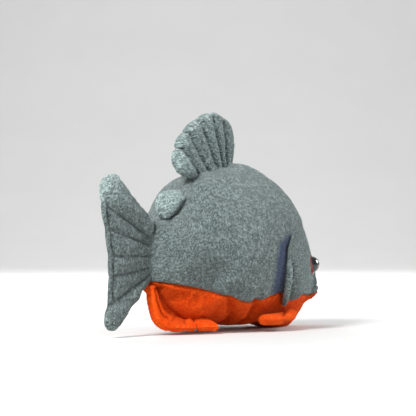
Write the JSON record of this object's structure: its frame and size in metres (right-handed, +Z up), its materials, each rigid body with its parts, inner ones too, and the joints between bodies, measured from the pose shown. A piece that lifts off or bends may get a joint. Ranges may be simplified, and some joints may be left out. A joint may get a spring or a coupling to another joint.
{
  "type": "plush fish",
  "caption": "Stuffed plush fish with a grey back, an orange belly, sewn padded fins, gill covers and glossy safety eyes; it rests on its belly.",
  "frame": {"origin": "on the resting surface, under the middle of the whole fish", "axes": "+X towards the head, +Z up, so -Y is the fish's right side"},
  "size_m": [0.2689, 0.1118, 0.1716],
  "materials": {
    "grey_plush": "short soft pile, blue-grey",
    "orange_plush": "short soft pile, orange",
    "fibre_fill": "loose white polyester fibre",
    "black_eye": "polished black plastic",
    "red_iris": "glossy dark red plastic",
    "white_washer": "plain moulded plastic"
  },
  "bodies": {
    "body": {"body_panel_left": "grey_plush", "body_panel_right": "grey_plush", "belly_panel": "orange_plush", "body_stuffing": "fibre_fill", "eye_left": "black_eye", "eye_right": "black_eye", "eye_iris_left": "red_iris", "eye_iris_right": "red_iris", "eye_washer_left": "white_washer", "eye_washer_right": "white_washer"},
    "gill_left": {"gill_cover_left": "grey_plush"},
    "gill_right": {"gill_cover_right": "grey_plush"},
    "tail_fin": {"tail_fin_panel_left": "grey_plush", "tail_fin_panel_right": "grey_plush", "tail_fin_wadding": "fibre_fill"},
    "dorsal_fin": {"dorsal_fin_panel_left": "grey_plush", "dorsal_fin_panel_right": "grey_plush", "dorsal_fin_wadding": "fibre_fill"},
    "adipose_fin": {"adipose_fin_panel_left": "grey_plush", "adipose_fin_panel_right": "grey_plush", "adipose_fin_wadding": "fibre_fill"},
    "anal_fin": {"anal_fin_panel_top": "orange_plush", "anal_fin_panel_bottom": "orange_plush", "anal_fin_wadding": "fibre_fill"},
    "pectoral_fin_left": {"pectoral_fin_left_panel_top": "orange_plush", "pectoral_fin_left_panel_bottom": "orange_plush", "pectoral_fin_left_wadding": "fibre_fill"},
    "pectoral_fin_right": {"pectoral_fin_right_panel_top": "orange_plush", "pectoral_fin_right_panel_bottom": "orange_plush", "pectoral_fin_right_wadding": "fibre_fill"}
  },
  "joints": [
    {"name": "tail_swing", "type": "hinge", "parent": "body", "child": "tail_fin", "pos_m": [-0.0821, 0, 0.064], "axis": [0, 0, 1], "range_deg": [-40, 40], "stiffness_Nm_per_rad": 0.08},
    {"name": "dorsal_lean", "type": "hinge", "parent": "body", "child": "dorsal_fin", "pos_m": [-0.011, 0, 0.12725], "axis": [0.9661, 0, 0.2582], "range_deg": [-35, 35], "stiffness_Nm_per_rad": 0.1},
    {"name": "adipose_lean", "type": "hinge", "parent": "body", "child": "adipose_fin", "pos_m": [-0.054, -0.004, 0.0993], "axis": [0.6621, -0.0828, 0.7448], "range_deg": [0, 25], "stiffness_Nm_per_rad": 0.03},
    {"name": "anal_swing", "type": "hinge", "parent": "body", "child": "anal_fin", "pos_m": [-0.072, 0, 0.02], "axis": [0, 0, 1], "range_deg": [-25, 0], "stiffness_Nm_per_rad": 0.05},
    {"name": "pectoral_swing_left", "type": "hinge", "parent": "body", "child": "pectoral_fin_left", "pos_m": [0.052, 0.036, 0.0085], "axis": [0, 0, -1], "range_deg": [0, 35], "stiffness_Nm_per_rad": 0.04},
    {"name": "pectoral_swing_right", "type": "hinge", "parent": "body", "child": "pectoral_fin_right", "pos_m": [0.052, -0.036, 0.0085], "axis": [0, 0, 1], "range_deg": [0, 35], "stiffness_Nm_per_rad": 0.04},
    {"name": "gill_lift_left", "type": "hinge", "parent": "body", "child": "gill_left", "pos_m": [0.06, 0.0436, 0.045], "axis": [0, 0, -1], "range_deg": [0, 20], "stiffness_Nm_per_rad": 0.03},
    {"name": "gill_lift_right", "type": "hinge", "parent": "body", "child": "gill_right", "pos_m": [0.06, -0.0436, 0.045], "axis": [0, 0, 1], "range_deg": [0, 20], "stiffness_Nm_per_rad": 0.03}
  ]
}
